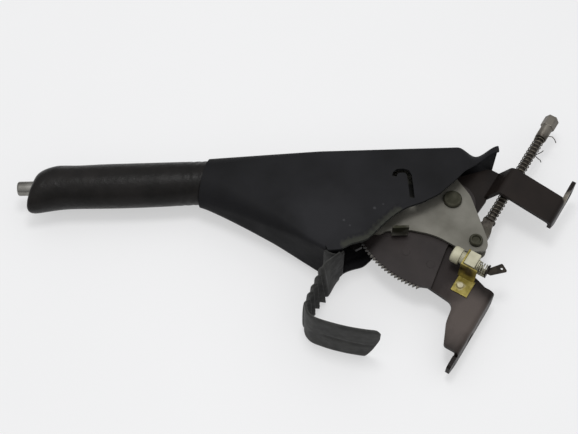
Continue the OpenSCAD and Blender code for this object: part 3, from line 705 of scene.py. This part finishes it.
def hood_path(x, low):
    """The open part of the cover's section, from the near wall's low end over the top to the far one's."""
    half, top, _, r, _ = cover_values(x)
    arc = np.linspace(0, math.pi / 2, HOOD_ARC_POINTS)
    near = [(top - r + r * math.sin(a), half - r + r * math.cos(a)) for a in arc]
    keep = [p for p in near if p[0] > low + SHORTEST_STEP]
    if low < top - r:
        keep = [(low, half)] + keep
    else:
        a = math.asin(clamp((low - top + r) / r))
        keep = [(low, half - r + r * math.cos(a))] + keep
    return keep + [(y, -z) for y, z in reversed(keep)]


def under_path(x):
    """The closed part of the section, from the far wall round the underside to the near wall."""
    half, _, bottom, r, _ = cover_values(x)
    r = under_corner(x, r)
    arc = np.linspace(0, math.pi / 2, UNDER_ARC_POINTS)
    far = [(bottom + r - r * math.sin(a), -(half - r) - r * math.cos(a)) for a in arc]
    return far + [(y, -z) for y, z in reversed(far)]


def cover_section(x, closed):
    """Points of the cover's section at x, with the underside where it is closed."""
    half, _, bottom, r, lean = cover_values(x)
    low = bottom + under_corner(x, r) if closed else rear_edge(x)
    section = list(resampled(hood_path(x, low), HOOD_POINTS))
    if closed:
        section += list(resampled(under_path(x), UNDER_POINTS + 2))[1:-1]
    points = []
    for y, z in section:
        on_wall = abs(z) >= half - WALL_BAND
        groove = lip_groove(x, y - low) if on_wall and not closed else 0
        points.append(lever(x + lean * (y - HANDLE_RISE), y, z - math.copysign(groove, z)))
    return points


def cover_skin():
    """Vertices and faces of the cover's outer skin."""
    front = list(np.linspace(COVER_FRONT + COVER_SEAM, UNDER_END, FRONT_STATIONS))
    rear = list(np.linspace(UNDER_END, EAR_REACH, REAR_STATIONS))[1:]
    verts, faces, starts = [], [], []
    for i, x in enumerate(front + rear):
        starts.append(len(verts))
        verts += cover_section(x, i < len(front))
    underside = [HOOD_POINTS - 1] + list(range(HOOD_POINTS, HOOD_POINTS + UNDER_POINTS)) + [0]
    for i, (a, b) in enumerate(zip(starts, starts[1:])):
        for j in range(HOOD_POINTS - 1):
            faces.append((a + j, a + j + 1, b + j + 1, b + j))
        if i + 1 < len(front):
            for j, k in zip(underside, underside[1:]):
                faces.append((a + j, a + k, b + k, b + j))
    return verts, faces


def slit_cutter():
    """A bar along the slit, to be taken out of the near wall."""
    left, right = [], []
    for i, (x, y) in enumerate(SLIT):
        a, b = SLIT[max(i - 1, 0)], SLIT[min(i + 1, len(SLIT) - 1)]
        d = Vector((b[0] - a[0], b[1] - a[1])).normalized()
        left.append((x - d.y * SLIT_HALF, y + d.x * SLIT_HALF))
        right.append((x + d.y * SLIT_HALF, y - d.x * SLIT_HALF))
    rings = [[lever(x, y, z) for x, y in left + right[::-1]] for z in SLIT_DEPTHS]
    cutter = bpy.data.objects.new("slit_cutter", outward_mesh("slit_cutter", *loft(rings)))
    bpy.context.collection.objects.link(cutter)
    return cutter


def add_cover():
    cover = add_piece("cover_shell", *cover_skin(), "cover_plastic", None, ["trim_cover"])
    add_wall(cover, COVER_WALL)
    cutter = slit_cutter()
    cut = cover.modifiers.new("slit", "BOOLEAN")
    cut.operation = "DIFFERENCE"
    cut.object = cutter
    cut.solver = "EXACT"
    weld(cover, SLIT_WELD)
    settle(cover)
    bpy.data.objects.remove(cutter)
    round_edges(cover, COVER_EDGE, COVER_EDGE_ANGLE)
    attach(cover, "lever")


# The strap. Its line runs from the root under the cover over a bow to the knee, and round a turn to the pad

STRAP_T = 2.0
STRAP_HALF = 22
STRAP_POINTS = 27
ROOT_STATIONS = 6
PLEAT_STATIONS = 150
TURN_STATIONS = 16
PAD_STATIONS = 40
ROOT_HALF = 19.2
STRAP_ROOT = np.array((UNDER_END + 13.0, -47.2))
STRAP_TOP = np.array((UNDER_END + 11.0, -49.0))
STRAP_BOW = np.array((UNDER_END - 8.0, -67.0))
STRAP_KNEE = np.array((UNDER_END - 16.0, -90.0))
TURN_BEND = STRAP_KNEE + (0, -8)
TURN_END = STRAP_KNEE + (8, -11.3)
STRAP_EDGE_POWER = 14
STRAP_EDGE_DEPTH = 0.85

PLEATS = 5
PLEAT_FAR = 2.2
PLEAT_NEAR = 0.9
PLEAT_SLANT = 1.0
PLEAT_FADE_IN = 7
PLEAT_FADE_OUT = 20
PLEAT_LEFT = 0.2
SMOOTH_SHARE = 0.3
TWIST = 2.8
TWIST_PLACE = (0.32, 0.2)

PAD_L = 51
PAD_BEND = STRAP_KNEE + (0.55 * PAD_L, -20)
PAD_END = STRAP_KNEE + (PAD_L, -22.5)
PAD_THICKER = 0.35
PAD_THICKER_FADE = 4
PAD_TIP_FADE = 14
PAD_TIP_LEFT = 0.12
# The slanted end of the pad: where each edge starts to run in, how far, and how bent
FAR_CUT = (0.8, 30, 1.4)
NEAR_CUT = (0.88, 5, 2)
CREASE = 0.8
CREASE_PLACE = 1.0
CREASE_DRIFT = 3
CREASE_WIDTH = 1.1
CREASE_FADE_IN = 6
CREASE_FADE_OUT = 8

HINGE_TOP = np.array((UNDER_END - 0.4, -45.3))
HINGE_BOW = np.array((UNDER_END + 3.0, -50.0))
HINGE_FOOT = np.array((UNDER_END + 8.6, -51.0))
HINGE_FOOT_HALF = 21.0
HINGE_STATIONS = 12


def curve_station(a, b, c, t):
    """A point of the curve from a to c that is drawn towards b, and the direction across it."""
    d = mix(b - a, c - b, t)
    d = d / np.linalg.norm(d)
    return mix(mix(a, b, t), mix(b, c, t), t), np.array((-d[1], d[0]))


def strap_line():
    """Stations along the strap; each stretch starts a little after the one before it.

    A station is a point, the direction across, the half width, the pleats' phase and strength, the twist
    and the share of the pad.
    """
    stations = []
    _, across = curve_station(STRAP_TOP, STRAP_BOW, STRAP_KNEE, 0)
    for t in np.linspace(0, 1, ROOT_STATIONS):
        stations.append((mix(STRAP_ROOT, STRAP_TOP, t), across, ROOT_HALF, 0, 0, 0, 0))
    for t in np.linspace(0.02, 1, PLEAT_STATIONS):
        point, across = curve_station(STRAP_TOP, STRAP_BOW, STRAP_KNEE, t)
        share = clamp((t - SMOOTH_SHARE) / (1 - SMOOTH_SHARE))
        strength = ease(clamp(PLEAT_FADE_IN * share))
        strength *= ease(clamp(PLEAT_FADE_OUT * (1 - share) + PLEAT_LEFT))
        stations.append((point, across, STRAP_HALF, share, strength, TWIST * bell(t, *TWIST_PLACE), 0))
    for t in np.linspace(0.06, 1, TURN_STATIONS):
        point, across = curve_station(STRAP_KNEE, TURN_BEND, TURN_END, t)
        stations.append((point, across, STRAP_HALF, 1, 0, 0, 0))
    for t in np.linspace(0.04, 1, PAD_STATIONS):
        point, across = curve_station(TURN_END, PAD_BEND, PAD_END, t)
        stations.append((point, across, STRAP_HALF, 1, 0, 0, t))
    return stations


def run_in(pad, start, depth, power):
    """How far an edge of the pad has run in at a share of its length."""
    return depth * max(0.0, (pad - start) / (1 - start)) ** power


def strap_ring(point, across, half, phase, pleat, twist, pad):
    """One closed section of the strap, as a flat rounded strip from its far edge to its near edge."""
    far = -half + run_in(pad, *FAR_CUT)
    near = half - run_in(pad, *NEAR_CUT)
    half_t = STRAP_T / 2 + PAD_THICKER * ease(clamp(pad * PAD_THICKER_FADE))
    if pad:
        half_t *= math.sqrt(clamp((1 - pad) * PAD_TIP_FADE + PAD_TIP_LEFT))
    ring = []
    for face in (1, -1):
        for k in range(STRAP_POINTS)[::face]:
            share = k / (STRAP_POINTS - 1)
            z = mix(far, near, share)
            rim = math.sqrt(clamp(1 - abs(2 * share - 1) ** STRAP_EDGE_POWER * STRAP_EDGE_DEPTH))
            slant = math.pi * PLEATS * phase - PLEAT_SLANT * share
            zigzag = mix(PLEAT_FAR, PLEAT_NEAR, share**3) * (1 - 2 * abs(math.sin(slant)))
            fold = pleat * zigzag - twist * z / half
            crease = CREASE * bell(z, CREASE_PLACE - CREASE_DRIFT * pad, CREASE_WIDTH)
            crease *= ease(clamp(pad * CREASE_FADE_IN)) * clamp((1 - pad) * CREASE_FADE_OUT)
            x, y = point + across * (fold + face * (half_t * rim - crease))
            ring.append(lever(x, y, z))
    return ring


def add_strap():
    rings = [strap_ring(*station) for station in strap_line()]
    strap = add_piece("strap_skin", *loft(rings), "strap_rubber", None, ["cover_strap"])
    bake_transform(strap)


def add_strap_hinge():
    """The thin web between the strap's root and the end of the cover's underside."""
    rings = []
    for t in np.linspace(0, 1, HINGE_STATIONS):
        point, across = curve_station(HINGE_TOP, HINGE_BOW, HINGE_FOOT, t)
        rings.append(strap_ring(point, across, mix(ROOT_HALF, HINGE_FOOT_HALF, t), 0, 0, 0, 0))
    add_piece("strap_hinge", *loft(rings), "strap_rubber", "lever")


# Springs and loose wire ends

WANDER_RATE = 7.3
WANDER_ALONG = 0.02
WANDER_ALONG_RATE = 3.1
THIN_WIRE_R = 0.45
RELEASE_WIRE_R = 0.6
FRAY_R = 0.35
FRAY_SIDES = 6
# Frayed wire ends caught in the pull rod's spring, in the rod's frame
FRAYS = [
    [(93, -3.2, 2.4), (92.4, -5, 3), (91.6, -7, 3), (91.8, -8.8, 2.2), (90.8, -10.2, 1.4)],
    [(94.5, -3.4, 2), (96.2, -5.2, 2.6), (98.4, -6.6, 3), (100.6, -7.2, 2.8)],
    [(113.4, -3, 2.4), (114.8, -5.2, 3.2), (115.6, -7.6, 3.2), (115, -10, 2.4), (113.4, -12.2, 1.2)],
]


def coil_line(place, radius, start, length, turns, steps, wander=0.0):
    """Points of a coil with closed ends.

    place takes across, up and along to a point of the part's frame, and wander makes the turns uneven.
    """
    line = []
    count = turns * steps
    end = 1 / turns
    for i in range(count + 1):
        t = i / count
        a = 2 * math.pi * turns * t
        rise = clamp((t - end / 2) / (1 - end))
        rise += wander * WANDER_ALONG * math.sin(WANDER_ALONG_RATE * t * turns)
        r = radius + wander * math.sin(WANDER_RATE * t * turns)
        line.append(place(r * math.cos(a), r * math.sin(a), start + length * rise))
    return line


def around_rod(across, up, along):
    return on_rod(along, across, up)


def in_tube(across, up, along):
    return lever(along, HANDLE_RISE + across, up)


def add_rod_coil():
    line = coil_line(around_rod, radius=3.75, start=24.65, length=85.6, turns=26, steps=20, wander=0.06)
    coil = wire(line, THIN_WIRE_R * MM)
    add_piece("rod_coil", *coil, "spring_steel", "rod", ["rod_spring"])


def add_switch_coil():
    line = coil_line(on_switch, radius=3.9, start=21.55, length=5.6, turns=4, steps=24)
    coil = wire(line, THIN_WIRE_R * MM)
    spring = add_piece("switch_coil", *coil, "bright_steel", "base", ["switch_spring"])
    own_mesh(spring)


def add_release_coil():
    line = coil_line(in_tube, radius=4.8, start=-291.1, length=39.8, turns=14, steps=16)
    coil = wire(line, RELEASE_WIRE_R * MM)
    spring = add_piece("release_coil", *coil, "bright_steel", "lever", ["release_spring"])
    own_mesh(spring)


def add_loose_wires():
    for i, fray in enumerate(FRAYS):
        strand = wire([on_rod(*p) for p in fray], FRAY_R * MM, FRAY_SIDES)
        add_piece(f"frayed_wire_{i}", *strand, "rod_steel", "rod")


# Finishes of the solids that stay, and the width of their softened edges

SOFTENED = {
    "base_bracket": 0.5,
    "bracket_hub": 0.5,
    "rear_arm": 0.5,
    "ratchet_sector": 0.25,
    "lever_near_plate": 0.35,
    "lever_far_plate": 0.35,
    "switch_clip": 0.25,
    "switch_housing": 0.5,
    "adjusting_nut": 0.4,
    "pull_rod": 0.3,
    "switch_screw": 0.3,
    "switch_terminal": 0.15,
    "pawl": 0.25,
    "pivot_pin": 0.2,
    "clevis_pin": 0.2,
}
SOLID_WELD = 0.002
SOLID_EDGE_ANGLE = 40


def finish_solids():
    slots = {entry["node"]: entry["material_slot"] for entry in frame["record"]["subparts"]}
    for name, solid in nodes.items():
        for place in solid.material_slots:
            place.material = finishes[slots[name]]
        if name in SOFTENED:
            weld(solid, SOLID_WELD)
            round_edges(solid, SOFTENED[name], SOLID_EDGE_ANGLE)


bpy.context.scene.view_settings.view_transform = "Standard"
finishes = make_materials()
add_camera()
add_sky()
add_key_light()
add_floor()
finish_solids()
add_grip()
add_cover()
add_strap()
add_strap_hinge()
add_rod_coil()
add_switch_coil()
add_release_coil()
add_loose_wires()
